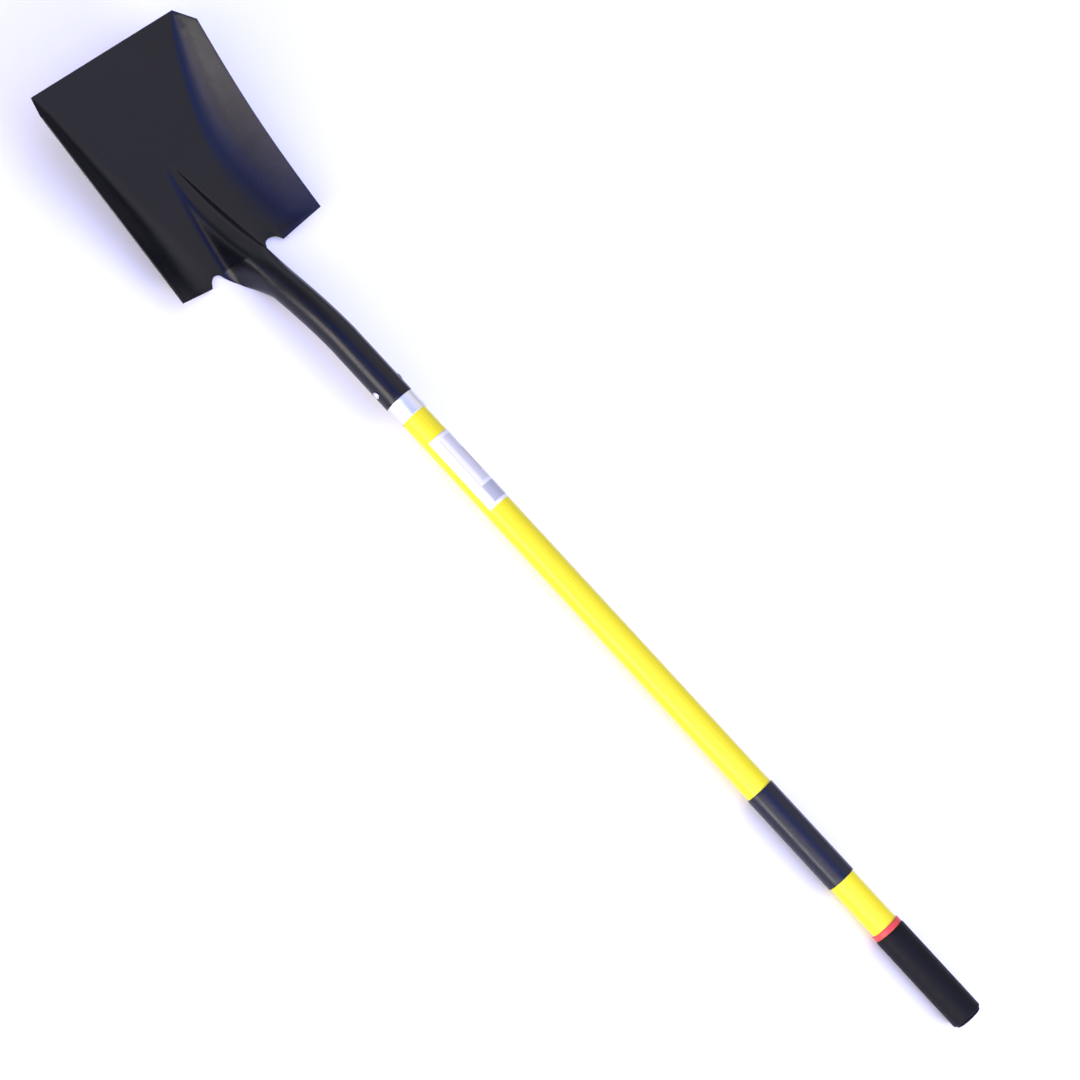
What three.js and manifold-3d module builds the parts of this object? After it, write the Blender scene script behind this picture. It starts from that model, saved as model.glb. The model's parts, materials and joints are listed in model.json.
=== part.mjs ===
// Long-handled square-mouth shovel: a stamped and painted steel head, a hollow
// fibreglass handle riveted into its socket, a ferrule, a label and two grips.
//
// The head is drawn in the blade's own frame: x across, y from the cutting edge
// towards the handle, z out of the blade's front. The whole shovel is then laid
// on its back, so that the heel of the blade and the end of the grip touch z = 0.

import * as THREE from "three";
import { mergeVertices } from "three/addons/utils/BufferGeometryUtils.js";
import Module from "manifold-3d";

const manifold = await Module();
manifold.setup();

// ---------------------------------------------------------------- dimensions, mm
const GAP = 0.3;
const MERGE_WITHIN = 1e-4;

// Blade
const SHEET = 1.6;
const TIP_HALF = 113.8;
const CORNER_HALF = 126.2;
const CORNER_BACK = 25;
const CORNER_RISE = 16.3;
const SHOULDER_HALF = 116.8;
const SHOULDER_Y = 291;
const SHOULDER_RISE = 26.4;
const RIM_WAIST = 2.6;
const RIM_SAG = 4.5;
const DISH = 22;
const FOLD_TIP_HALF = 113;
const FOLD_HEEL_HALF = 64;
const FOLD_INSET = 8.5;
const FOLD_SOFTNESS = 0.5;

// Steps and notches at the heel
const HEEL_Y = 290;
const STEP_INNER_HALF = 60.5;
const STEP_INNER_Y = 298;
const STEP_TURN = 20;
const STEP_SHARE = 0.1;
const NOTCH_BITE = 5;
const NOTCH_SQUARENESS = 6;
const HEEL_PULL = 4;

// Frog: the raised rib that runs into the socket
const FROG_HALF = 38.6;
const FROG_APEX = 146;
const FROG_WIDENING = 0.6;
const FROG_RISE_SHARE = 0.4;
const FROG_CLIMB = 3.5;
const FLANK_AT = 0.56;
const FLANK_SHARPNESS = 6;

// Socket
const SOCKET_END = new THREE.Vector3(0, 524, 113.5);
const HANDLE_SLOPE = THREE.MathUtils.degToRad(16.2);
const SOCKET_RADIUS = 18.7;
const SOCKET_WRAP = THREE.MathUtils.degToRad(173);
const STRAIGHT_FROM = 432;
const CRANK = 0.0114;
const CRANK_POWER = 1.6;
const FLARE_CLOSED_Y = 341;
const FLARE_EASING = 0.5;

// Handle, measured along it from the socket's end
const EDGE_BREAK = 0.6;
const TUBE_RADIUS = 17.45;
const TUBE_WALL = 3;
const TUBE_INSIDE = 92;
const TUBE_END = 972;
const CORE_INSIDE = 88;
const CORE_END = 60;
const CORE_TAPER = 1.5;
const COLLAR_RADIUS = 19.6;
const COLLAR_LENGTH = 26;
const LABEL_START = 63;
const LABEL_LENGTH = 107;
const LABEL_THICK = 0.25;
const LABEL_HALF_ANGLE = THREE.MathUtils.degToRad(66);
const MID_GRIP_START = 621;
const MID_GRIP_END = 760.5;
const MID_GRIP_RADIUS = 18.7;
const RING_START = 833.6;
const RING_LENGTH = 7.5;
const RING_RADIUS = 19;
const END_GRIP_END = 973.4;
const END_GRIP_RADIUS = 19.4;
const END_GRIP_FLARE = 0.5;
const END_GRIP_ROUND = 2;
const PLUG_INSIDE = 45;
const PLUG_TAPER = 1.5;
const PLUG_FLANGE = 17.2;
const PLUG_FLANGE_THICK = 2.6;

// Rivet through socket, tube and core
const RIVET_SETBACK = 21;
const RIVET_RADIUS = 3;
const RIVET_HEAD_RADIUS = 4.7;
const RIVET_HEAD_HEIGHT = 2.2;
const WASHER_RADIUS = 6.5;
const WASHER_THICK = 1.2;
const PEEN_RADIUS = 4.2;
const PEEN_HEIGHT = 1.6;

// Mesh density
const FROG_COLUMNS = 26;
const SIDE_COLUMNS = 9;
const RIM_CROWDING = 0.85;
const ROUND = 32;
const SMALL_ROUND = 18;
const DOME_STEPS = 4;
const LABEL_SEGMENTS = 12;

// Halvings and repeats of the two searches for a length or an angle
const SOLVE_STEPS = 50;

// ---------------------------------------------------------------- materials
function material(colour, roughness, metalness) {
  return new THREE.MeshStandardMaterial({ color: colour, roughness, metalness });
}

const paint = material(0x26262e, 0.42, 0.1);
const fibreglass = material(0xf8e32e, 0.3, 0);
const vinyl = material(0x33333f, 0.3, 0);
const rubber = material(0x1f1f25, 0.65, 0);
const redVinyl = material(0xd6403f, 0.45, 0);
const brightMetal = material(0xd9dde0, 0.3, 0.9);
const zinc = material(0xb9bbbd, 0.4, 0.9);
const paper = material(0xf0f2f4, 0.5, 0);
const hardwood = material(0xb98d5a, 0.8, 0);

// ---------------------------------------------------------------- blade surface
const lerp = THREE.MathUtils.lerp;
const clamp01 = (t) => THREE.MathUtils.clamp(t, 0, 1);
const smooth = (t) => THREE.MathUtils.smoothstep(t, 0, 1);

// Flat, then an even bend about t = 0, then a straight climb to 1 at t = 1.
function softRamp(t) {
  const into = THREE.MathUtils.clamp(t + FOLD_SOFTNESS, 0, 2 * FOLD_SOFTNESS);
  return into ** 2 / (4 * FOLD_SOFTNESS) + Math.max(t - FOLD_SOFTNESS, 0);
}

// Half width of the blade at its rim, and the rim's height: a slanted front
// corner, then a long edge that is a little waisted and sags between its ends.
function alongRim(y, tip, corner, shoulder, sag) {
  if (y < CORNER_BACK) return lerp(tip, corner, y / CORNER_BACK);
  const t = (y - CORNER_BACK) / (SHOULDER_Y - CORNER_BACK);
  return lerp(corner, shoulder, t) - sag * Math.sin(Math.PI * clamp01(t));
}

function rimHalf(y) {
  return alongRim(y, TIP_HALF, CORNER_HALF, SHOULDER_HALF, RIM_WAIST);
}

function rimHeight(y) {
  return alongRim(y, 0, CORNER_RISE, SHOULDER_RISE, RIM_SAG);
}

// The floor is dished lengthwise; it folds up into the side walls along a curve
// that leaves the corners of the cutting edge and runs in towards the steps.
function floorHeight(y) {
  return -DISH * Math.sin(Math.PI * clamp01(y / HEEL_Y));
}

function foldHalf(y) {
  const along = clamp01(y / HEEL_Y);
  return lerp(FOLD_TIP_HALF, FOLD_HEEL_HALF, along) - FOLD_INSET * Math.sin(Math.PI * along);
}

// The heel's edge: flare, notch, step and shoulder, from the middle outwards.
function heelEdge(x) {
  const across = Math.abs(x);
  if (across <= FROG_HALF) return HEEL_Y;
  if (across < STEP_INNER_HALF) {
    const t = (across - FROG_HALF) / (STEP_INNER_HALF - FROG_HALF);
    const edge = lerp(HEEL_Y, STEP_INNER_Y, t ** NOTCH_SQUARENESS);
    return edge - NOTCH_BITE * Math.sin(Math.PI * t) * (1 - t);
  }
  const t = (across - STEP_INNER_HALF) / (SHOULDER_HALF - STEP_INNER_HALF);
  return lerp(STEP_INNER_Y, SHOULDER_Y, t);
}

// Height across the frog as a share of its crest: u is -1 and 1 at its feet.
function frogSection(u) {
  const beyond = Math.abs(u) ** FLANK_SHARPNESS;
  return (1 - beyond) ** 2 / (1 + beyond / FLANK_AT ** FLANK_SHARPNESS);
}

function frogHeight(x, y) {
  const along = clamp01((y - FROG_APEX) / (HEEL_Y - FROG_APEX));
  if (along === 0) return 0;
  const half = FROG_HALF * along ** FROG_WIDENING;
  if (Math.abs(x) >= half) return 0;
  const climb = lerp(along ** FROG_CLIMB, along, FROG_RISE_SHARE);
  return crestAtHeel.z * climb * frogSection(x / half);
}

function bladeHeight(x, y) {
  const across = Math.abs(x);
  const fold = foldHalf(y);
  const rim = rimHalf(y);
  const wall = Math.min(softRamp((across - fold) / (rim - fold)), 1);
  const turn = clamp01((y - heelEdge(x) + STEP_TURN) / STEP_TURN) ** 2;
  const step = STEP_SHARE * turn * smooth((across - FROG_HALF) / (STEP_INNER_HALF - FROG_HALF));
  const depth = rimHeight(y) - floorHeight(y);
  return floorHeight(y) + depth * (1 - (1 - wall) * (1 - step)) + frogHeight(x, y);
}

// ---------------------------------------------------------------- socket line
// Straight along the handle, then cranked down towards the blade.
function axisHeight(y) {
  const straight = SOCKET_END.z + (y - SOCKET_END.y) * Math.tan(HANDLE_SLOPE);
  return straight - CRANK * Math.max(0, STRAIGHT_FROM - y) ** CRANK_POWER;
}

function axisSlope(y) {
  return Math.atan2(axisHeight(y + 0.5) - axisHeight(y - 0.5), 1);
}

// Point of the socket's wall at an angle from its front line.
function socketPoint(angle, y) {
  const slope = axisSlope(y);
  const up = SOCKET_RADIUS * Math.cos(angle);
  return new THREE.Vector3(
    SOCKET_RADIUS * Math.sin(angle),
    y - up * Math.sin(slope),
    axisHeight(y) + up * Math.cos(slope),
  );
}

// The section of the socket line whose front point stands over the heel.
function socketStart() {
  let y = HEEL_Y;
  for (let n = 0; n < SOLVE_STEPS; n++) y += HEEL_Y - socketPoint(0, y).y;
  return y;
}

const SOCKET_START_Y = socketStart();
const crestAtHeel = socketPoint(0, SOCKET_START_Y);

// From the heel on, the frog's arch closes into the socket's ring.
function flarePoint(u, y) {
  const ring = socketPoint(u * SOCKET_WRAP, y);
  const crest = socketPoint(0, y);
  const arch = new THREE.Vector3(FROG_HALF * u, crest.y, crest.z * frogSection(u));
  const t = clamp01((y - SOCKET_START_Y) / (FLARE_CLOSED_Y - SOCKET_START_Y));
  return arch.lerp(ring, lerp(t, smooth(t), FLARE_EASING));
}

// ---------------------------------------------------------------- head
// Splits a length into equal steps: [[end, steps], ...] from a start.
function stations(start, spans) {
  const list = [start];
  for (const [end, steps] of spans) {
    const from = list.at(-1);
    for (let n = 1; n <= steps; n++) list.push(lerp(from, end, n / steps));
  }
  return list;
}

const bladeRows = stations(0, [
  [CORNER_BACK, 4],
  [FROG_APEX, 6],
  [HEEL_Y - STEP_TURN, 9],
  [HEEL_Y, 4],
]);
const socketRows = stations(SOCKET_START_Y, [
  [FLARE_CLOSED_Y, 8],
  [STRAIGHT_FROM, 6],
  [SOCKET_END.y, 2],
]);
const rowsTotal = bladeRows.length + socketRows.length - 1;
const columnsTotal = FROG_COLUMNS + 2 * SIDE_COLUMNS + 1;

// Middle of the sheet at a row and a column. Side columns run from the frog's
// foot to the rim, closer together towards the rim.
function sheetPoint(row, column) {
  const inner = column - SIDE_COLUMNS;
  const u = THREE.MathUtils.clamp((2 * inner) / FROG_COLUMNS - 1, -1, 1);
  if (row >= bladeRows.length) return flarePoint(u, socketRows[row - bladeRows.length + 1]);
  const beyond = Math.max(-inner, inner - FROG_COLUMNS, 0) / SIDE_COLUMNS;
  const share = beyond ** RIM_CROWDING;
  const along = bladeRows[row] / HEEL_Y;
  const reach = heelEdge(lerp(FROG_HALF, SHOULDER_HALF, share)) - HEEL_Y;
  const y = bladeRows[row] + reach * along ** HEEL_PULL;
  const x = beyond > 0 ? Math.sign(u) * lerp(FROG_HALF, rimHalf(y), share) : FROG_HALF * u;
  return new THREE.Vector3(x, y, bladeHeight(x, y));
}

function inSheet(row, column) {
  if (row < 0 || column < 0 || row >= rowsTotal || column >= columnsTotal) return false;
  const inner = column - SIDE_COLUMNS;
  return row < bladeRows.length || (inner >= 0 && inner <= FROG_COLUMNS);
}

// Closed body of an even thickness about a grid of points.
function sheetGeometry(thickness) {
  const middle = [];
  for (let row = 0; row < rowsTotal; row++) {
    for (let column = 0; column < columnsTotal; column++) {
      middle.push(inSheet(row, column) ? sheetPoint(row, column) : null);
    }
  }
  const at = (row, column) => (inSheet(row, column) ? middle[row * columnsTotal + column] : null);
  const span = (before, here, after) => (after ?? here).clone().sub(before ?? here);
  const back = (index) => index + middle.length;
  const positions = new Float32Array(middle.length * 6);
  middle.forEach((point, index) => {
    if (!point) return;
    const row = Math.floor(index / columnsTotal);
    const column = index % columnsTotal;
    const across = span(at(row, column - 1), point, at(row, column + 1));
    const along = span(at(row - 1, column), point, at(row + 1, column));
    const offset = across.cross(along).setLength(thickness / 2);
    point.clone().add(offset).toArray(positions, index * 3);
    point.clone().sub(offset).toArray(positions, back(index) * 3);
  });
  const triangles = [];
  const quad = (a, b, c, d) => triangles.push(a, b, c, a, c, d);
  const edge = (row, column) => inSheet(row, column) && inSheet(row, column + 1);
  const cell = (row, column) => edge(row, column) && edge(row + 1, column);
  for (let row = 0; row < rowsTotal - 1; row++) {
    for (let column = 0; column < columnsTotal - 1; column++) {
      if (!cell(row, column)) continue;
      const a = row * columnsTotal + column;
      const b = a + 1;
      const c = b + columnsTotal;
      const d = a + columnsTotal;
      quad(a, b, c, d);
      quad(back(d), back(c), back(b), back(a));
      if (!cell(row - 1, column)) quad(back(a), back(b), b, a);
      if (!cell(row + 1, column)) quad(back(c), back(d), d, c);
      if (!cell(row, column - 1)) quad(back(d), back(a), a, d);
      if (!cell(row, column + 1)) quad(back(b), back(c), c, b);
    }
  }
  const geometry = new THREE.BufferGeometry();
  geometry.setAttribute("position", new THREE.BufferAttribute(positions, 3));
  geometry.setIndex(triangles);
  return mergeVertices(geometry.toNonIndexed(), MERGE_WITHIN);
}

// ---------------------------------------------------------------- joining and cutting
function toSolid(geometry) {
  const bare = geometry.clone();
  bare.deleteAttribute("normal");
  bare.deleteAttribute("uv");
  const merged = mergeVertices(bare, MERGE_WITHIN);
  return new manifold.Manifold(
    new manifold.Mesh({
      numProp: 3,
      vertProperties: new Float32Array(merged.attributes.position.array),
      triVerts: new Uint32Array(merged.index.array),
    }),
  );
}

function toGeometry(solid) {
  const mesh = solid.getMesh();
  const geometry = new THREE.BufferGeometry();
  geometry.setAttribute("position", new THREE.BufferAttribute(mesh.vertProperties, 3));
  geometry.setIndex(new THREE.BufferAttribute(mesh.triVerts, 1));
  return geometry;
}

function cut(geometry, ...tools) {
  const whole = tools.reduce((solid, tool) => solid.subtract(toSolid(tool)), toSolid(geometry));
  return toGeometry(whole);
}

// ---------------------------------------------------------------- turned pieces
// A turned solid about Y. The profile is [radius, y] points in order from the
// lower inside, round the outside, back to the inside.
function turned(profile, sides = ROUND) {
  const points = profile.map(([radius, y]) => new THREE.Vector2(radius, y));
  return new THREE.LatheGeometry(points, sides);
}

function sleeve(inner, outer, start, end) {
  return turned([
    [inner, start],
    [outer - EDGE_BREAK, start],
    [outer, start + EDGE_BREAK],
    [outer, end - EDGE_BREAK],
    [outer - EDGE_BREAK, end],
    [inner, end],
    [inner, start],
  ]);
}

// Turns a solid made about Y so that it lies along X.
function acrossHandle(geometry, setback) {
  return geometry.rotateZ(-Math.PI / 2).translate(0, -setback, 0);
}

function rivetHole() {
  const radius = RIVET_RADIUS + GAP;
  const reach = 2 * SOCKET_RADIUS;
  const bore = turned([[0, -reach], [radius, -reach], [radius, reach], [0, reach]], SMALL_ROUND);
  return acrossHandle(bore, RIVET_SETBACK);
}

// Dome from its rim to its top, as [radius, y] points.
function dome(radius, base, height) {
  const points = [];
  for (let n = 0; n <= DOME_STEPS; n++) {
    const angle = (n / DOME_STEPS) * (Math.PI / 2);
    const wide = n === DOME_STEPS ? 0 : radius * Math.cos(angle);
    points.push([wide, base + height * Math.sin(angle)]);
  }
  return points;
}

function socketRivet() {
  const seat = SOCKET_RADIUS + SHEET / 2 + GAP;
  const washerFace = seat + WASHER_THICK + GAP;
  const tail = dome(PEEN_RADIUS, washerFace, PEEN_HEIGHT)
    .reverse()
    .map(([radius, y]) => [radius, -y]);
  const profile = [
    ...tail,
    [RIVET_RADIUS, -washerFace],
    [RIVET_RADIUS, seat],
    ...dome(RIVET_HEAD_RADIUS, seat, RIVET_HEAD_HEIGHT),
  ];
  return acrossHandle(turned(profile, SMALL_ROUND), RIVET_SETBACK);
}

function rivetWasher() {
  const far = -(SOCKET_RADIUS + SHEET / 2 + GAP);
  const near = far - WASHER_THICK;
  const bore = RIVET_RADIUS + GAP;
  const ring = turned(
    [[bore, near], [WASHER_RADIUS, near], [WASHER_RADIUS, far], [bore, far], [bore, near]],
    SMALL_ROUND,
  );
  return acrossHandle(ring, RIVET_SETBACK);
}

function labelGeometry() {
  const inner = TUBE_RADIUS + GAP;
  const outline = new THREE.Shape();
  const front = -Math.PI / 2;
  outline.absarc(0, 0, inner + LABEL_THICK, front - LABEL_HALF_ANGLE, front + LABEL_HALF_ANGLE, false);
  outline.absarc(0, 0, inner, front + LABEL_HALF_ANGLE, front - LABEL_HALF_ANGLE, true);
  outline.closePath();
  const sheet = new THREE.ExtrudeGeometry(outline, {
    depth: LABEL_LENGTH,
    bevelEnabled: false,
    curveSegments: LABEL_SEGMENTS,
  });
  return sheet.rotateX(-Math.PI / 2).translate(0, LABEL_START, 0);
}

function endGrip() {
  const inner = TUBE_RADIUS + GAP;
  const start = RING_START + RING_LENGTH + GAP;
  const wide = END_GRIP_RADIUS + END_GRIP_FLARE;
  return turned([
    [inner, start],
    [END_GRIP_RADIUS - EDGE_BREAK, start],
    [END_GRIP_RADIUS, start + EDGE_BREAK],
    [wide, END_GRIP_END - END_GRIP_ROUND],
    [wide - EDGE_BREAK, END_GRIP_END - EDGE_BREAK],
    [wide - END_GRIP_ROUND, END_GRIP_END],
    [inner, END_GRIP_END],
    [inner, start],
  ]);
}

function endPlug() {
  const stem = TUBE_RADIUS - TUBE_WALL - GAP;
  const seat = END_GRIP_END + GAP;
  const face = seat + PLUG_FLANGE_THICK;
  return turned([
    [0, TUBE_END - PLUG_INSIDE],
    [stem - PLUG_TAPER, TUBE_END - PLUG_INSIDE],
    [stem, TUBE_END - PLUG_INSIDE + PLUG_TAPER],
    [stem, seat],
    [PLUG_FLANGE, seat],
    [PLUG_FLANGE, face - EDGE_BREAK],
    [PLUG_FLANGE - EDGE_BREAK, face],
    [0, face],
  ]);
}

function handleCore() {
  const radius = TUBE_RADIUS - TUBE_WALL - GAP;
  return turned([
    [0, -CORE_INSIDE],
    [radius - CORE_TAPER, -CORE_INSIDE],
    [radius, -CORE_INSIDE + CORE_TAPER],
    [radius, CORE_END],
    [0, CORE_END],
  ]);
}

// ---------------------------------------------------------------- assembly
function named(name, geometry, look) {
  const mesh = new THREE.Mesh(geometry, look);
  mesh.name = name;
  return mesh;
}

const shovel = new THREE.Group();

const handle = new THREE.Group();
handle.position.copy(SOCKET_END);
handle.rotation.x = HANDLE_SLOPE;
handle.updateMatrix();
shovel.add(handle);

const headBore = rivetHole().applyMatrix4(handle.matrix);
const head = named("shovel_head", cut(sheetGeometry(SHEET), headBore), paint);
shovel.add(head);

const sleeveBore = TUBE_RADIUS + GAP;
const tube = sleeve(TUBE_RADIUS - TUBE_WALL, TUBE_RADIUS, -TUBE_INSIDE, TUBE_END);
const grip = named("end_grip", endGrip(), rubber);
handle.add(
  named("handle_tube", cut(tube, rivetHole()), fibreglass),
  named("handle_core", cut(handleCore(), rivetHole()), hardwood),
  named("socket_rivet", socketRivet(), zinc),
  named("rivet_washer", rivetWasher(), zinc),
  named("ferrule_collar", sleeve(sleeveBore, COLLAR_RADIUS, GAP, COLLAR_LENGTH), brightMetal),
  named("product_label", labelGeometry(), paper),
  named("mid_grip", sleeve(sleeveBore, MID_GRIP_RADIUS, MID_GRIP_START, MID_GRIP_END), vinyl),
  named("red_trim_ring", sleeve(sleeveBore, RING_RADIUS, RING_START, RING_START + RING_LENGTH), redVinyl),
  grip,
  named("end_plug", endPlug(), rubber),
);

// ---------------------------------------------------------------- laid on its back
function lowest(mesh) {
  shovel.updateMatrixWorld(true);
  return new THREE.Box3().setFromObject(mesh, true).min.z;
}

// Tips the shovel about X until the heel and the grip's end are at one height.
function layDown() {
  let shallow = 0;
  let steep = Math.PI / 4;
  for (let n = 0; n < SOLVE_STEPS; n++) {
    const middle = (shallow + steep) / 2;
    shovel.rotation.x = -middle;
    if (lowest(grip) > lowest(head)) shallow = middle;
    else steep = middle;
  }
}

layDown();
shovel.updateMatrixWorld(true);
const box = new THREE.Box3().setFromObject(shovel, true);
const centre = box.getCenter(new THREE.Vector3());
shovel.position.set(-centre.x, -centre.y, -box.min.z);

export default shovel;
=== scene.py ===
"""The looks of a long-handled square-mouth shovel that lies on its back on a pale floor.

The head is a fine sheet-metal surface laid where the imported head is, and the handle's pieces are turned
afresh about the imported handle's axis. The scene is in metres. Sizes of the tool are named in millimetres.
"""
import json
import math

import bpy
import numpy as np
from mathutils import Matrix, Vector


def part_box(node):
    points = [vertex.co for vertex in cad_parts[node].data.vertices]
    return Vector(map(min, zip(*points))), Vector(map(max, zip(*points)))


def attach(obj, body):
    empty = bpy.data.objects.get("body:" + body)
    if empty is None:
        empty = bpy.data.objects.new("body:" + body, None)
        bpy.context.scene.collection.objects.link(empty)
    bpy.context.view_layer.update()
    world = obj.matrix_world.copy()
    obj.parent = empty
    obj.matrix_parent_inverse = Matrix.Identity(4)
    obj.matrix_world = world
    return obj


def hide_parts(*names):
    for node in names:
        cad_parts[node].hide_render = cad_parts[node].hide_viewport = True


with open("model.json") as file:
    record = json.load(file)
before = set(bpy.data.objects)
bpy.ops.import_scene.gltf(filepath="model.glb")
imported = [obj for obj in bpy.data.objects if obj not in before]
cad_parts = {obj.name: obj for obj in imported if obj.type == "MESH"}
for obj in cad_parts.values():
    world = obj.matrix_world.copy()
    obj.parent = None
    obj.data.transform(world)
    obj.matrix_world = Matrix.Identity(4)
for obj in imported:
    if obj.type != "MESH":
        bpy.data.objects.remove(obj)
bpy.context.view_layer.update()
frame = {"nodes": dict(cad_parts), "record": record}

MM = 0.001
ROOT = "root"
TINY = 1e-9

# ---------------------------------------------------------------- the blade's drawing, mm
SHEET = 1.6
TIP_HALF = 113.8
CORNER_HALF = 126.2
CORNER_BACK = 25
CORNER_RISE = 16.3
SHOULDER_HALF = 116.8
SHOULDER_Y = 291
SHOULDER_RISE = 26.4
RIM_WAIST = 2.6
RIM_SAG = 4.5
DISH = 22
FOLD_TIP_HALF = 113
FOLD_HEEL_HALF = 64
FOLD_INSET = 8.5
FOLD_SOFTNESS = 0.5
HEEL_Y = 290
STEP_INNER_HALF = 60.5
STEP_INNER_Y = 298
STEP_TURN = 20
STEP_SHARE = 0.1
NOTCH_BITE = 5
NOTCH_SQUARENESS = 6
HEEL_PULL = 4
FROG_HALF = 38.6
FROG_APEX = 146
FROG_WIDENING = 0.6
FROG_RISE_SHARE = 0.4
FROG_CLIMB = 3.5
FLANK_AT = 0.56
FLANK_SHARPNESS = 6
SOCKET_END_Y = 524
SOCKET_END_Z = 113.5
HANDLE_SLOPE = math.radians(16.2)
SOCKET_RADIUS = 18.7
SOCKET_WRAP = math.radians(173)
STRAIGHT_FROM = 432
CRANK = 0.0114
CRANK_POWER = 1.6
FLARE_CLOSED_Y = 341
FLARE_EASING = 0.5
SOLVE_STEPS = 20
NARROWEST_WALL = 0.001

# Sheet edges: the cutting edge is ground to a share of the sheet's thickness over a length, and every
# edge that turns by more than an angle is rounded
GRIND_SHARE = 0.45
GRIND_LENGTH = 9
EDGE_ROUND = 0.5
EDGE_SEGMENTS = 3
EDGE_ANGLE = math.radians(50)

# How far the visual head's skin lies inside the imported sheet's
SKIN_INSET = 0.1

# Fineness of the visual head, and the segments of a turned piece
FROG_COLUMNS = 96
SIDE_COLUMNS = 42
CORNER_ROWS = 16
BLADE_ROWS = 50
FROG_ROWS = 62
STEP_ROWS = 16
FLARE_ROWS = 36
CRANK_ROWS = 40
SOCKET_ROWS = 20
ROUND = 128

# ---------------------------------------------------------------- the handle's pieces, mm
TUBE_WALL = 3
TUBE_CORNER = 1
SLEEVE_GAP = 0.15
SLEEVE_STATIONS = 24
BEAD_LENGTH = 4
COLLAR_CORNER = 0.7
COLLAR_BEAD = 0.35
VINYL_CORNER = 0.9
RING_CORNER = 1
RUBBER_CORNER = 2.1
LABEL_LIFT = 0.05
FILM_THICK = 0.2
LABEL_COLUMNS = 48
LABEL_ROWS = 60
RIVET_SETBACK = 21
RIVET_RADIUS = 3
RIVET_HEAD_RADIUS = 4.7
PEEN_RADIUS = 4.2
PEEN_SEAT = 1.5
DOME_POINTS = 9
WASHER_RADIUS = 6.4
WASHER_BORE = 3.1
WASHER_BEVEL = 0.3
PLUG_GAP = 0.2
PLUG_FLANGE_THICK = 2.6
PLUG_CORNER = 1.2
STEM_CORNER = 1


# ---------------------------------------------------------------- the handle's own frame
def node_points(node):
    return np.array([vertex.co for vertex in frame["nodes"][node].data.vertices])


grip_end = next(m for m in frame["record"]["mounts"] if m["name"] == "grip_end")
HANDLE_AXIS = Vector(grip_end["axis"]).normalized()
GRIP_END = Vector(grip_end["pos_m"])
TILT = math.atan2(HANDLE_AXIS.z, HANDLE_AXIS.y) - HANDLE_SLOPE


def along_handle(node):
    """A node's lowest and highest place along the handle, from the grip's end face, and its radius."""
    arms = node_points(node) - np.array(GRIP_END)
    along = arms @ np.array(HANDLE_AXIS)
    radius = np.linalg.norm(arms - np.outer(along, HANDLE_AXIS), axis=1)
    return along.min(), along.max(), radius.max()


SOCKET_MOUTH = along_handle("shovel_head")[1]


def handle_matrix(along):
    """Local Z along the handle towards the grip, local X across it, local -Y to the shovel's front."""
    x = Vector((1, 0, 0))
    z = HANDLE_AXIS
    y = z.cross(x)
    turn = Matrix((x, y, z)).transposed().to_4x4()
    return Matrix.Translation(GRIP_END + HANDLE_AXIS * along) @ turn


def blade_to_row(points):
    """Turns the blade's drawing (mm) into the row frame (m)."""
    turned = np.array(Matrix.Rotation(TILT, 3, "X"))
    end = turned @ np.array([0, SOCKET_END_Y, SOCKET_END_Z]) * MM
    place = np.array(GRIP_END + HANDLE_AXIS * SOCKET_MOUTH) - end
    return points @ turned.T * MM + place


# ---------------------------------------------------------------- the blade's surface
def mix(a, b, t):
    return a + (b - a) * t


def smooth(t):
    t = np.clip(t, 0, 1)
    return t * t * (3 - 2 * t)


def soft_ramp(t):
    """Flat, then an even bend from -FOLD_SOFTNESS to FOLD_SOFTNESS, then a straight climb to 1 at 1."""
    bend = np.clip(t + FOLD_SOFTNESS, 0, 2 * FOLD_SOFTNESS) ** 2 / (4 * FOLD_SOFTNESS)
    return bend + np.maximum(t - FOLD_SOFTNESS, 0)


def along_rim(y, tip, corner, shoulder, sag):
    t = (y - CORNER_BACK) / (SHOULDER_Y - CORNER_BACK)
    edge = mix(corner, shoulder, t) - sag * np.sin(np.pi * np.clip(t, 0, 1))
    return np.where(y < CORNER_BACK, mix(tip, corner, y / CORNER_BACK), edge)


def rim_half(y):
    return along_rim(y, TIP_HALF, CORNER_HALF, SHOULDER_HALF, RIM_WAIST)


def rim_height(y):
    return along_rim(y, 0, CORNER_RISE, SHOULDER_RISE, RIM_SAG)


def floor_height(y):
    return -DISH * np.sin(np.pi * np.clip(y / HEEL_Y, 0, 1))


def fold_half(y):
    along = np.clip(y / HEEL_Y, 0, 1)
    return mix(FOLD_TIP_HALF, FOLD_HEEL_HALF, along) - FOLD_INSET * np.sin(np.pi * along)


def heel_edge(across):
    t = np.clip((across - FROG_HALF) / (STEP_INNER_HALF - FROG_HALF), 0, 1)
    notch = mix(HEEL_Y, STEP_INNER_Y, t**NOTCH_SQUARENESS) - NOTCH_BITE * np.sin(np.pi * t) * (1 - t)
    s = (across - STEP_INNER_HALF) / (SHOULDER_HALF - STEP_INNER_HALF)
    return np.where(across < STEP_INNER_HALF, notch, mix(STEP_INNER_Y, SHOULDER_Y, s))


def frog_section(u):
    """The frog's height across it, as a share of its crest, with u from -1 to 1 between its feet."""
    rounding = np.abs(u) ** FLANK_SHARPNESS
    return (1 - rounding) ** 2 / (1 + rounding / FLANK_AT**FLANK_SHARPNESS)


def frog_height(x, y):
    along = np.clip((y - FROG_APEX) / (HEEL_Y - FROG_APEX), 0, 1)
    half = FROG_HALF * np.maximum(along, TINY) ** FROG_WIDENING
    crest = CREST_AT_HEEL * mix(along**FROG_CLIMB, along, FROG_RISE_SHARE)
    return crest * frog_section(np.clip(x / half, -1, 1))


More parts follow.
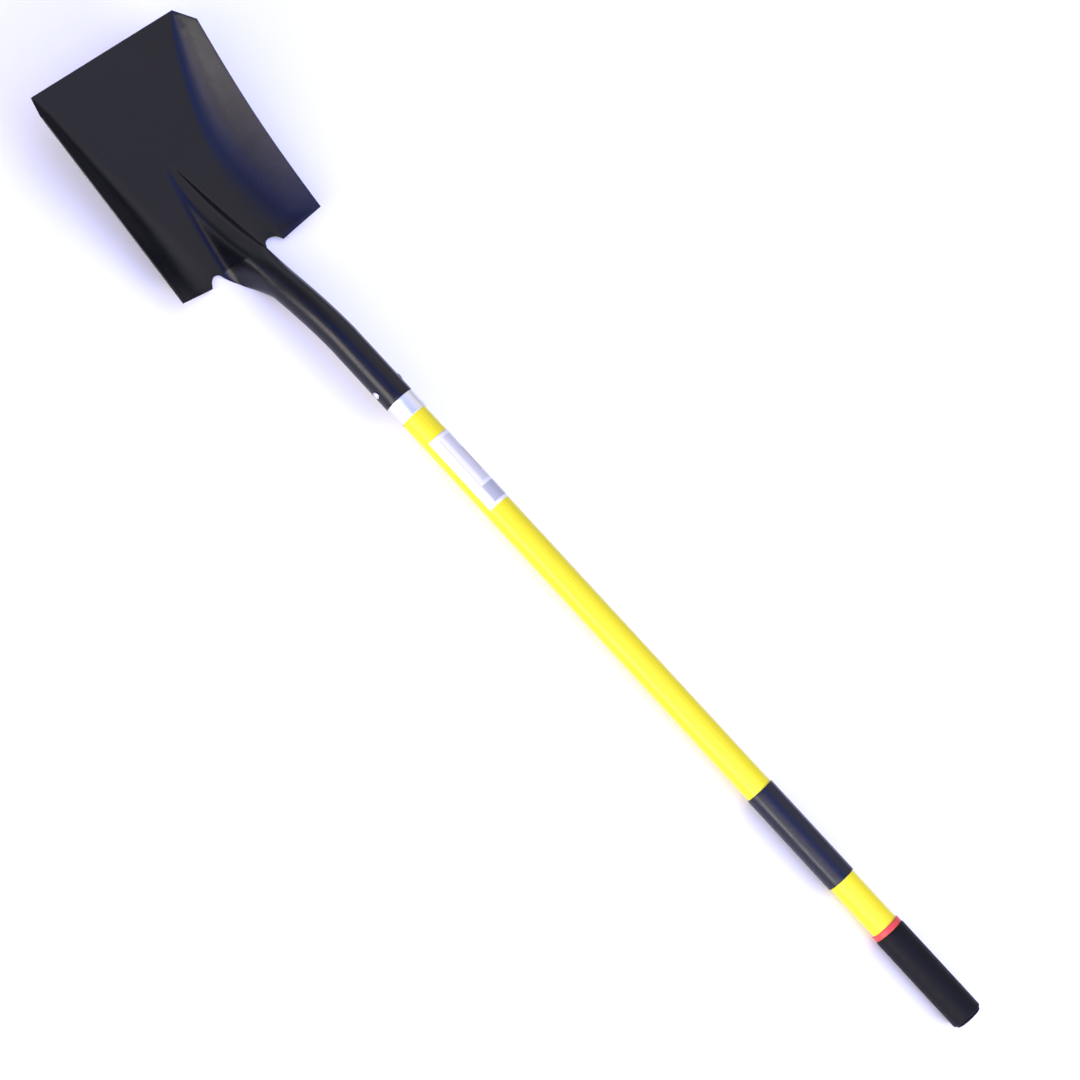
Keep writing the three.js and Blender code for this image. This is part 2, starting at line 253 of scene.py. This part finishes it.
def blade_height(x, y):
    across = np.abs(x)
    fold = fold_half(y)
    width = np.maximum(rim_half(y) - fold, NARROWEST_WALL)
    wall = np.minimum(soft_ramp((across - fold) / width), 1)
    turn = np.clip((y - heel_edge(across) + STEP_TURN) / STEP_TURN, 0, 1) ** 2
    step = STEP_SHARE * turn * smooth((across - FROG_HALF) / (STEP_INNER_HALF - FROG_HALF))
    depth = rim_height(y) - floor_height(y)
    return floor_height(y) + depth * (1 - (1 - wall) * (1 - step)) + frog_height(x, y)


def axis_height(y):
    """The socket's line: straight along the handle, then cranked down towards the blade."""
    straight = SOCKET_END_Z + (y - SOCKET_END_Y) * math.tan(HANDLE_SLOPE)
    return straight - CRANK * np.maximum(0, STRAIGHT_FROM - y) ** CRANK_POWER


def socket_point(angle, y):
    """A point of the socket's wall at an angle from its front line."""
    slope = np.arctan(axis_height(y + 0.5) - axis_height(y - 0.5))
    up = SOCKET_RADIUS * np.cos(angle)
    across = SOCKET_RADIUS * np.sin(angle)
    return np.stack([across, y - up * np.sin(slope), axis_height(y) + up * np.cos(slope)], -1)


def socket_start():
    """Where the socket's line is when its front point stands over the heel."""
    y = HEEL_Y
    for _ in range(SOLVE_STEPS):
        y += HEEL_Y - socket_point(0, y)[1]
    return y


SOCKET_START_Y = socket_start()
CREST_AT_HEEL = socket_point(0, SOCKET_START_Y)[2]


def flare_point(u, y):
    """From the heel on, the frog's arch closes into the socket's ring."""
    ring = socket_point(u * SOCKET_WRAP, y)
    crest = socket_point(0 * u, y)
    arch = np.stack([FROG_HALF * u, crest[..., 1], crest[..., 2] * frog_section(u)], -1)
    t = np.clip((y - SOCKET_START_Y) / (FLARE_CLOSED_Y - SOCKET_START_Y), 0, 1)
    return mix(arch, ring, mix(t, smooth(t), FLARE_EASING)[..., None])


# ---------------------------------------------------------------- the head's mesh
def stations(start, *spans):
    """Splits a length into equal steps, span by span: (end, steps)."""
    parts = [np.array([start])]
    for end, steps in spans:
        parts.append(np.linspace(parts[-1][-1], end, steps + 1)[1:])
    return np.concatenate(parts)


def head_grid():
    """Points of the sheet's middle by row and column, and which of them exist."""
    blade_rows = stations(
        0.0,
        (CORNER_BACK, CORNER_ROWS),
        (FROG_APEX, BLADE_ROWS),
        (HEEL_Y - STEP_TURN, FROG_ROWS),
        (HEEL_Y, STEP_ROWS),
    )
    socket_rows = stations(
        SOCKET_START_Y,
        (FLARE_CLOSED_Y, FLARE_ROWS),
        (STRAIGHT_FROM, CRANK_ROWS),
        (SOCKET_END_Y, SOCKET_ROWS),
    )
    columns = FROG_COLUMNS + 2 * SIDE_COLUMNS + 1
    inner = np.arange(columns) - SIDE_COLUMNS
    u = np.clip(2 * inner / FROG_COLUMNS - 1, -1, 1)
    share = np.clip(np.maximum(-inner, inner - FROG_COLUMNS), 0, None) / SIDE_COLUMNS
    rows = blade_rows[:, None]
    reach = heel_edge(mix(FROG_HALF, SHOULDER_HALF, share)) - HEEL_Y
    y = rows + reach * (rows / HEEL_Y) ** HEEL_PULL
    x = np.where(share > 0, np.sign(u) * mix(FROG_HALF, rim_half(y), share), FROG_HALF * u)
    blade = np.stack([x, y, blade_height(x, y)], -1)
    uu, yy = np.meshgrid(u, socket_rows[1:])
    points = np.concatenate([blade, flare_point(uu, yy)])
    exists = np.ones(points.shape[:2], bool)
    exists[len(blade_rows):, share > 0] = False
    return points, exists


def new_object(name, vertices, faces, matrix=None):
    mesh = bpy.data.meshes.new(name)
    mesh.from_pydata([tuple(v) for v in vertices], [], [tuple(f) for f in faces])
    mesh.validate()
    mesh.polygons.foreach_set("use_smooth", [True] * len(mesh.polygons))
    mesh.update()
    piece = bpy.data.objects.new(name, mesh)
    bpy.context.scene.collection.objects.link(piece)
    if matrix is not None:
        piece.matrix_world = matrix
    return piece


def make_head():
    points, exists = head_grid()
    number = np.full(exists.shape, -1)
    number[exists] = np.arange(exists.sum())
    quads = np.stack([number[:-1, :-1], number[:-1, 1:], number[1:, 1:], number[1:, :-1]], -1)
    quads = quads.reshape(-1, 4)
    quads = quads[(quads >= 0).all(1)]
    head = new_object("painted_head", blade_to_row(points[exists]), quads)
    ground = head.vertex_groups.new(name="thickness")
    thickness = mix(GRIND_SHARE, 1.0, smooth(points[exists][:, 1] / GRIND_LENGTH))
    for index, weight in enumerate(thickness):
        ground.add([index], float(weight), "REPLACE")
    solid = head.modifiers.new("sheet", "SOLIDIFY")
    solid.thickness = (SHEET - 2 * SKIN_INSET) * MM
    solid.offset = 0
    solid.vertex_group = "thickness"
    bevel = head.modifiers.new("edges", "BEVEL")
    bevel.width = EDGE_ROUND * MM
    bevel.segments = EDGE_SEGMENTS
    bevel.limit_method = "ANGLE"
    bevel.angle_limit = EDGE_ANGLE
    return head


# ---------------------------------------------------------------- turned pieces
def turned(name, profile, matrix, closed=True):
    """A solid of revolution about local Z through (radius, z) points. A point on the axis is one vertex."""
    angle = np.linspace(0, 2 * np.pi, ROUND, endpoint=False)
    vertices = []
    rings = []
    for radius, z in profile:
        if radius < TINY:
            rings.append([len(vertices)] * ROUND)
            vertices.append((0, 0, z))
            continue
        rings.append(list(range(len(vertices), len(vertices) + ROUND)))
        vertices += [(radius * math.cos(a), radius * math.sin(a), z) for a in angle]
    pairs = list(zip(rings, rings[1:]))
    if closed:
        pairs.append((rings[-1], rings[0]))
    faces = []
    for low, high in pairs:
        for n in range(ROUND):
            m = (n + 1) % ROUND
            loop = [low[n], low[m], high[m], high[n]]
            face = [v for k, v in enumerate(loop) if v != loop[k - 1]]
            if len(face) > 2:
                faces.append(face)
    return new_object(name, vertices, faces, matrix)


def arc(centre, radius, start, end, steps=6):
    """Points of a round corner in (radius, z), angles in degrees from the radial direction."""
    angles = np.radians(np.linspace(start, end, steps + 1))
    return [(centre[0] + radius * math.cos(a), centre[1] + radius * math.sin(a)) for a in angles]


def sleeve_profile(inner, outer, length, bead, corner):
    """The outside of a sleeve with round ends, then its bore. A bead is how far the ends swell."""
    fade = BEAD_LENGTH * MM
    points = [(inner, 0.0)]
    points += arc((outer + bead - corner, corner), corner, -90, 0)
    for n in range(1, SLEEVE_STATIONS):
        t = n / SLEEVE_STATIONS
        swell = bead * (math.exp(-t * length / fade) + math.exp(-(1 - t) * length / fade))
        z = mix(corner, length - corner, t)
        points.append((outer + swell, z))
    points += arc((outer + bead - corner, length - corner), corner, 0, 90)
    points.append((inner, length))
    return points


def make_sleeve(name, node, corner, bead=0.0):
    low, high, outer = along_handle(node)
    profile = sleeve_profile(BORE, outer - bead * MM, high - low, bead * MM, corner * MM)
    return turned(name, profile, handle_matrix(low))


# ---------------------------------------------------------------- materials
class Look:
    """A principled material with short ways to add noise and ramps."""

    def __init__(self, name, colour, roughness, metallic=0.0, **uniform):
        self.material = bpy.data.materials.new(name)
        self.material.use_nodes = True
        self.nodes = self.material.node_tree.nodes
        self.links = self.material.node_tree.links
        self.shader = self.nodes["Principled BSDF"]
        self.shader.inputs["Base Color"].default_value = (*colour, 1)
        self.shader.inputs["Roughness"].default_value = roughness
        self.shader.inputs["Metallic"].default_value = metallic
        for socket, value in uniform.items():
            self.shader.inputs[socket.replace("_", " ")].default_value = value
        self.place = self.nodes.new("ShaderNodeTexCoord").outputs["Object"]

    def stretched(self, scale):
        mapping = self.nodes.new("ShaderNodeMapping")
        mapping.inputs["Scale"].default_value = scale
        self.links.new(self.place, mapping.inputs["Vector"])
        return mapping.outputs["Vector"]

    def noise(self, scale, detail=3.0, stretch=(1, 1, 1), roughness=0.5):
        node = self.nodes.new("ShaderNodeTexNoise")
        node.inputs["Scale"].default_value = scale
        node.inputs["Detail"].default_value = detail
        node.inputs["Roughness"].default_value = roughness
        self.links.new(self.stretched(stretch), node.inputs["Vector"])
        return node.outputs["Fac"]

    def ramp(self, source, *stops):
        node = self.nodes.new("ShaderNodeValToRGB")
        ramp = node.color_ramp
        while len(ramp.elements) < len(stops):
            ramp.elements.new(0.5)
        for element, (position, colour) in zip(ramp.elements, stops):
            element.position = position
            value = colour if isinstance(colour, tuple) else (colour,) * 3
            element.color = (*value, 1)
        self.links.new(source, node.inputs["Fac"])
        return node.outputs["Color"]

    def calculate(self, operation, a, b):
        node = self.nodes.new("ShaderNodeMath")
        node.operation = operation
        for socket, value in zip(node.inputs, (a, b)):
            if isinstance(value, (int, float)):
                socket.default_value = value
            else:
                self.links.new(value, socket)
        return node.outputs["Value"]

    def split(self):
        """The place in the object's own frame as three separate values."""
        node = self.nodes.new("ShaderNodeSeparateXYZ")
        self.links.new(self.place, node.inputs["Vector"])
        return node.outputs["X"], node.outputs["Y"], node.outputs["Z"]

    def within(self, value, low, high):
        """1 between two bounds, 0 outside them."""
        above = self.calculate("GREATER_THAN", value, low)
        return self.calculate("MULTIPLY", above, self.calculate("LESS_THAN", value, high))

    def mixed(self, factor, a, b):
        node = self.nodes.new("ShaderNodeMix")
        node.data_type = "RGBA"
        for socket, value in (("Factor", factor), ("A", a), ("B", b)):
            target = next(i for i in node.inputs if i.name == socket and i.enabled)
            if isinstance(value, tuple):
                target.default_value = (*value, 1)
            else:
                self.links.new(value, target)
        return next(o for o in node.outputs if o.enabled)

    def feed(self, socket, source):
        self.links.new(source, self.shader.inputs[socket])

    def bump(self, height, strength, distance):
        node = self.nodes.new("ShaderNodeBump")
        node.inputs["Strength"].default_value = strength
        node.inputs["Distance"].default_value = distance
        self.links.new(height, node.inputs["Height"])
        previous = self.shader.inputs["Normal"].links
        if previous:
            self.links.new(previous[0].from_socket, node.inputs["Normal"])
        self.links.new(node.outputs["Normal"], self.shader.inputs["Normal"])


# The label's film and its printed marks: centre and half width over the label's radius, start and end
# over its length, and ink
PAPER = (0.66, 0.65, 0.61)
LABEL_MARKS = (
    (-0.42, 0.5, 0.05, 0.7, (0.52, 0.515, 0.49)),
    (-0.62, 0.14, 0.26, 0.58, (0.44, 0.38, 0.34)),
    (-0.22, 0.68, 0.74, 0.96, (0.36, 0.365, 0.38)),
    (0.42, 0.03, 0.06, 0.94, (0.5, 0.5, 0.48)),
)


def black_paint():
    look = Look("black_paint", (0.002, 0.0022, 0.004), 0.26, Specular_IOR_Level=0.32)
    mottle = look.noise(14, 4)
    shades = look.ramp(mottle, (0.35, (0.0015, 0.0016, 0.003)), (0.7, (0.0026, 0.0028, 0.005)))
    look.feed("Base Color", shades)
    look.feed("Roughness", look.ramp(look.noise(60, 5), (0.3, 0.23), (0.7, 0.29)))
    look.bump(look.noise(520, 2), 0.12, 0.0006)
    look.bump(look.noise(22, 2), 0.12, 0.003)
    return look.material


def yellow_fibreglass():
    look = Look("yellow_fibreglass", (0.72, 0.62, 0.01), 0.3, Specular_IOR_Level=0.35)
    fibres = look.noise(900, 4, (1, 1, 0.012))
    cloud = look.noise(30, 3, (1, 1, 0.15))
    streaked = look.ramp(fibres, (0.3, (0.68, 0.58, 0.006)), (0.7, (0.74, 0.64, 0.01)))
    pale = look.calculate("MULTIPLY", cloud, 0.35)
    look.feed("Base Color", look.mixed(pale, streaked, (0.77, 0.68, 0.015)))
    look.feed("Roughness", look.ramp(fibres, (0.3, 0.24), (0.7, 0.34)))
    look.bump(fibres, 0.08, 0.0003)
    return look.material


def black_vinyl():
    look = Look("black_vinyl", (0.006, 0.007, 0.015), 0.26, Specular_IOR_Level=0.31)
    look.feed("Roughness", look.ramp(look.noise(80, 3), (0.3, 0.24), (0.7, 0.34)))
    look.bump(look.noise(60, 2), 0.1, 0.0015)
    return look.material


def black_rubber(name="black_rubber", shade=0.003):
    look = Look(name, (shade, shade, shade * 1.5), 0.5, Specular_IOR_Level=0.14)
    look.feed("Roughness", look.ramp(look.noise(120, 4), (0.3, 0.45), (0.7, 0.6)))
    look.bump(look.noise(1500, 3), 0.25, 0.0004)
    return look.material


def red_vinyl():
    look = Look("red_vinyl", (0.6, 0.045, 0.045), 0.35, Specular_IOR_Level=0.4)
    look.feed("Roughness", look.ramp(look.noise(200, 3), (0.3, 0.35), (0.7, 0.45)))
    return look.material


def bright_metal():
    look = Look("bright_metal", (0.76, 0.78, 0.77), 0.38, 1.0)
    brushed = look.noise(700, 3, (0.03, 0.03, 1))
    look.feed("Roughness", look.ramp(brushed, (0.3, 0.34), (0.7, 0.46)))
    look.bump(brushed, 0.06, 0.0003)
    return look.material


def zinc():
    look = Look("zinc", (0.6, 0.6, 0.61), 0.38, 1.0)
    look.feed("Roughness", look.ramp(look.noise(600, 4), (0.3, 0.3), (0.7, 0.5)))
    look.bump(look.noise(900, 2), 0.1, 0.0003)
    return look.material


def label_film(length, radius):
    """White film with a few plain printed blocks and bars, and no lettering."""
    look = Look("label", PAPER, 0.35)
    x, _, z = look.split()
    film = PAPER
    for centre, half, low, high, ink in LABEL_MARKS:
        inside = look.within(x, (centre - half) * radius, (centre + half) * radius)
        inside = look.calculate("MULTIPLY", inside, look.within(z, low * length, high * length))
        film = look.mixed(inside, film, ink)
    look.feed("Base Color", film)
    look.feed("Roughness", look.ramp(look.noise(90, 3), (0.3, 0.3), (0.7, 0.42)))
    look.bump(look.noise(300, 2), 0.05, 0.0004)
    return look.material


def hardwood():
    look = Look("hardwood", (0.5, 0.33, 0.18), 0.7)
    grain = look.noise(500, 4, (1, 0.05, 1))
    look.feed("Base Color", look.ramp(grain, (0.3, (0.42, 0.26, 0.13)), (0.7, (0.56, 0.38, 0.21))))
    return look.material


# ---------------------------------------------------------------- pieces
def finish_piece(piece, material, slot, *nodes):
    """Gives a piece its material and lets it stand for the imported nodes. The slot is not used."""
    piece.data.materials.append(material)
    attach(piece, ROOT)
    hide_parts(*nodes)


TUBE_LOW, TUBE_HIGH, TUBE_RADIUS = along_handle("handle_tube")
TUBE_INNER = TUBE_RADIUS - TUBE_WALL * MM
BORE = TUBE_RADIUS + SLEEVE_GAP * MM


def make_tube():
    length = TUBE_HIGH - TUBE_LOW
    corner = TUBE_CORNER * MM
    profile = [(TUBE_INNER, 0.0), *arc((TUBE_RADIUS - corner, corner), corner, -90, 0)]
    profile += [*arc((TUBE_RADIUS - corner, length - corner), corner, 0, 90), (TUBE_INNER, length)]
    return turned("fibreglass_tube", profile, handle_matrix(TUBE_LOW))


def make_label():
    low, high, radius = along_handle("product_label")
    half_angle = math.asin(min(1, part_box("product_label")[1].x / radius))
    inner = TUBE_RADIUS + LABEL_LIFT * MM
    vertices = []
    for n in range(LABEL_ROWS + 1):
        for k in range(LABEL_COLUMNS + 1):
            angle = -math.pi / 2 + half_angle * (2 * k / LABEL_COLUMNS - 1)
            z = (high - low) * n / LABEL_ROWS
            vertices.append((inner * math.cos(angle), inner * math.sin(angle), z))
    wide = LABEL_COLUMNS + 1
    faces = [
        (n * wide + k, n * wide + k + 1, (n + 1) * wide + k + 1, (n + 1) * wide + k)
        for n in range(LABEL_ROWS)
        for k in range(LABEL_COLUMNS)
    ]
    label = new_object("label_film", vertices, faces, handle_matrix(low))
    solid = label.modifiers.new("film", "SOLIDIFY")
    solid.thickness = FILM_THICK * MM
    solid.offset = 1
    return label


def across_socket():
    """Local Z across the tool at the rivet, local X along the handle towards the blade."""
    return handle_matrix(SOCKET_MOUTH - RIVET_SETBACK * MM) @ Matrix.Rotation(math.pi / 2, 4, "Y")


def dome(radius, seat, top):
    """Points from a dome's rim to its top on the axis, in (radius, z)."""
    angles = np.linspace(0, math.pi / 2, DOME_POINTS)[:-1]
    rising = [(radius * MM * math.cos(a), seat + (top - seat) * math.sin(a)) for a in angles]
    return [*rising, (0, top)]


def make_rivet():
    low, high = (corner.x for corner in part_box("socket_rivet"))
    seat = (SOCKET_RADIUS + SHEET / 2) * MM
    tail_seat = -(seat + PEEN_SEAT * MM)
    shank = [(RIVET_RADIUS * MM, tail_seat), (RIVET_RADIUS * MM, seat)]
    profile = [*reversed(dome(PEEN_RADIUS, tail_seat, low)), *shank, *dome(RIVET_HEAD_RADIUS, seat, high)]
    return turned("rivet", profile, across_socket(), closed=False)


def make_washer():
    low, high = (corner.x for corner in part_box("rivet_washer"))
    bore = WASHER_BORE * MM
    bevel = WASHER_BEVEL * MM
    middle = WASHER_RADIUS * MM - bevel
    outside = [*arc((middle, low + bevel), bevel, -90, 0), *arc((middle, high - bevel), bevel, 0, 90)]
    return turned("washer", [(bore, low), *outside, (bore, high)], across_socket())


def make_plug():
    low, high, radius = along_handle("end_plug")
    length = high - low
    stem = TUBE_INNER - PLUG_GAP * MM
    stem_corner = STEM_CORNER * MM
    seat = length - PLUG_FLANGE_THICK * MM
    corner = PLUG_CORNER * MM
    profile = [(0, 0), (stem - stem_corner, 0), (stem, stem_corner), (stem, seat), (radius, seat)]
    profile += [*arc((radius - corner, length - corner), corner, 0, 90), (0, length)]
    return turned("end_cap", profile, handle_matrix(low), closed=False)


def make_ferrule():
    return make_sleeve("ferrule", "ferrule_collar", COLLAR_CORNER, COLLAR_BEAD)


def make_vinyl_grip():
    return make_sleeve("vinyl_grip", "mid_grip", VINYL_CORNER)


def make_red_ring():
    return make_sleeve("red_ring", "red_trim_ring", RING_CORNER)


def make_rubber_grip():
    return make_sleeve("rubber_grip", "end_grip", RUBBER_CORNER)


label_low, label_high, label_radius = along_handle("product_label")
label_look = label_film(label_high - label_low, label_radius)

finish_piece(make_head(), black_paint(), "black_paint", "shovel_head")
finish_piece(make_tube(), yellow_fibreglass(), "yellow_fibreglass", "handle_tube")
finish_piece(make_ferrule(), bright_metal(), "bright_metal", "ferrule_collar")
finish_piece(make_label(), label_look, "label", "product_label")
finish_piece(make_vinyl_grip(), black_vinyl(), "black_vinyl", "mid_grip")
finish_piece(make_red_ring(), red_vinyl(), "red_vinyl", "red_trim_ring")
finish_piece(make_rubber_grip(), black_rubber(), "black_rubber", "end_grip")
finish_piece(make_plug(), black_rubber("plug_rubber", 0.0025), "plug_rubber", "end_plug")
finish_piece(make_rivet(), zinc(), "zinc", "socket_rivet")
finish_piece(make_washer(), zinc(), "zinc", "rivet_washer")
frame["nodes"]["handle_core"].data.materials.clear()
frame["nodes"]["handle_core"].data.materials.append(hardwood())


# ---------------------------------------------------------------- stage, lights and camera
FLOOR_REACH = 20


def make_floor():
    reach = FLOOR_REACH
    corners = [(-reach, -reach, 0), (reach, -reach, 0), (reach, reach, 0), (-reach, reach, 0)]
    floor = new_object("floor", corners, [(0, 1, 2, 3)])
    look = Look("floor", (0.97, 0.96, 0.9), 0.9)
    shades = look.ramp(look.noise(3, 2), (0.3, (0.965, 0.955, 0.89)), (0.7, (0.98, 0.97, 0.91)))
    look.feed("Base Color", shades)
    floor.data.materials.append(look.material)


# Panels of light: name, place, aim, width, height, power in watts, colour, and spread in degrees,
# which is small for a panel behind a honeycomb grid
LIGHTS = (
    ("key", (1.5, 0.385, 0.45), (0, 0.385, 0.45), 1.33, 0.9, 3.6, (1.0, 0.97, 0.93), 50),
    ("head_key", (1.5, -0.64, 0.5), (0, -0.64, 0.3), 0.72, 0.8, 11, (1.0, 0.95, 0.93), 180),
    ("end_light", (0, 3.5, 2.0), (0, 0, 0), 2.0, 1.2, 80, (1.0, 0.96, 0.9), 180),
)


def soft_light(name, place, aim, width, height, power, colour, spread):
    data = bpy.data.lights.new(name, "AREA")
    data.shape = "RECTANGLE"
    data.size = width
    data.size_y = height
    data.energy = power
    data.color = colour
    data.spread = math.radians(spread)
    lamp = bpy.data.objects.new(name, data)
    lamp.location = place
    lamp.rotation_euler = (Vector(aim) - Vector(place)).to_track_quat("-Z", "Y").to_euler()
    lamp.visible_camera = False
    bpy.context.scene.collection.objects.link(lamp)


def direction(azimuth, elevation):
    """The unit vector towards an azimuth and an elevation in degrees."""
    a = math.radians(azimuth)
    e = math.radians(elevation)
    return Vector((math.cos(e) * math.cos(a), math.cos(e) * math.sin(a), math.sin(e)))


CAMERA_AIM = Vector((-0.00927, 0.01218, 0.04))
CAMERA_AZIMUTH = 7.767
CAMERA_ELEVATION = 57.147
CAMERA_ROLL = math.radians(40.11)
CAMERA_DISTANCE = 3.1514
CAMERA_LENS = 89.695
SENSOR = 36


def make_camera():
    data = bpy.data.cameras.new("camera")
    data.lens = CAMERA_LENS
    data.sensor_width = SENSOR
    camera = bpy.data.objects.new("camera", data)
    out = direction(CAMERA_AZIMUTH, CAMERA_ELEVATION)
    level = (-out).to_track_quat("-Z", "Y").to_matrix().to_4x4()
    roll = Matrix.Rotation(CAMERA_ROLL, 4, "Z")
    camera.matrix_world = Matrix.Translation(CAMERA_AIM + out * CAMERA_DISTANCE) @ level @ roll
    bpy.context.scene.collection.objects.link(camera)
    bpy.context.scene.camera = camera


# The sky's radiance below the elevation LOW and above HIGH, in degrees, and the soft patches over it:
# azimuth, elevation, inner and outer half-angle in degrees, and radiance. Later patches cover earlier ones.
HORIZON = (0.3, 0.3, 0.33)
OVERHEAD = (1.04, 1.0, 1.14)
LOW = 5
HIGH = 32
PATCHES = (
    (72, 64, 16, 36, (0.5, 0.8, 2.8)),
    (-20, 62, 8, 27, (0.2, 0.36, 1.8)),
    (-90, 42, 15, 40, (0.35, 0.37, 0.42)),
    (25, 59, 6, 23, (1.3, 1.4, 3.2)),
    (19, 47, 4, 15, (3.3, 3.1, 4.2)),
    (17, 34, 4, 13, (5.6, 4.9, 5.7)),
    (16, 23, 3, 9, (6.8, 6.0, 6.4)),
)


def make_world():
    """A studio sky with a dark horizon, deep blue gaps overhead and a tall bright patch on the +X side."""
    world = bpy.data.worlds.new("studio")
    world.use_nodes = True
    nodes = world.node_tree.nodes
    links = world.node_tree.links
    looking = nodes.new("ShaderNodeTexCoord").outputs["Generated"]

    def layer(below, towards, start, full, colour):
        """Mixes a colour over what lies below it, where the view's cosine to a direction is high."""
        cosine = nodes.new("ShaderNodeVectorMath")
        cosine.operation = "DOT_PRODUCT"
        cosine.inputs[1].default_value = towards
        share = nodes.new("ShaderNodeMapRange")
        share.interpolation_type = "SMOOTHSTEP"
        share.inputs["From Min"].default_value = start
        share.inputs["From Max"].default_value = full
        blend = nodes.new("ShaderNodeMixRGB")
        blend.inputs["Color2"].default_value = (*colour, 1)
        links.new(looking, cosine.inputs[0])
        links.new(cosine.outputs["Value"], share.inputs["Value"])
        links.new(share.outputs["Result"], blend.inputs["Fac"])
        if isinstance(below, tuple):
            blend.inputs["Color1"].default_value = (*below, 1)
        else:
            links.new(below, blend.inputs["Color1"])
        return blend.outputs["Color"]

    up = (0, 0, 1)
    sky = layer(HORIZON, up, math.sin(math.radians(LOW)), math.sin(math.radians(HIGH)), OVERHEAD)
    for azimuth, elevation, inner, outer, colour in PATCHES:
        start = math.cos(math.radians(outer))
        full = math.cos(math.radians(inner))
        sky = layer(sky, direction(azimuth, elevation), start, full, colour)
    links.new(sky, nodes["Background"].inputs["Color"])
    bpy.context.scene.world = world


make_floor()
make_world()
for light in LIGHTS:
    soft_light(*light)
make_camera()
bpy.context.scene.view_settings.view_transform = "Standard"
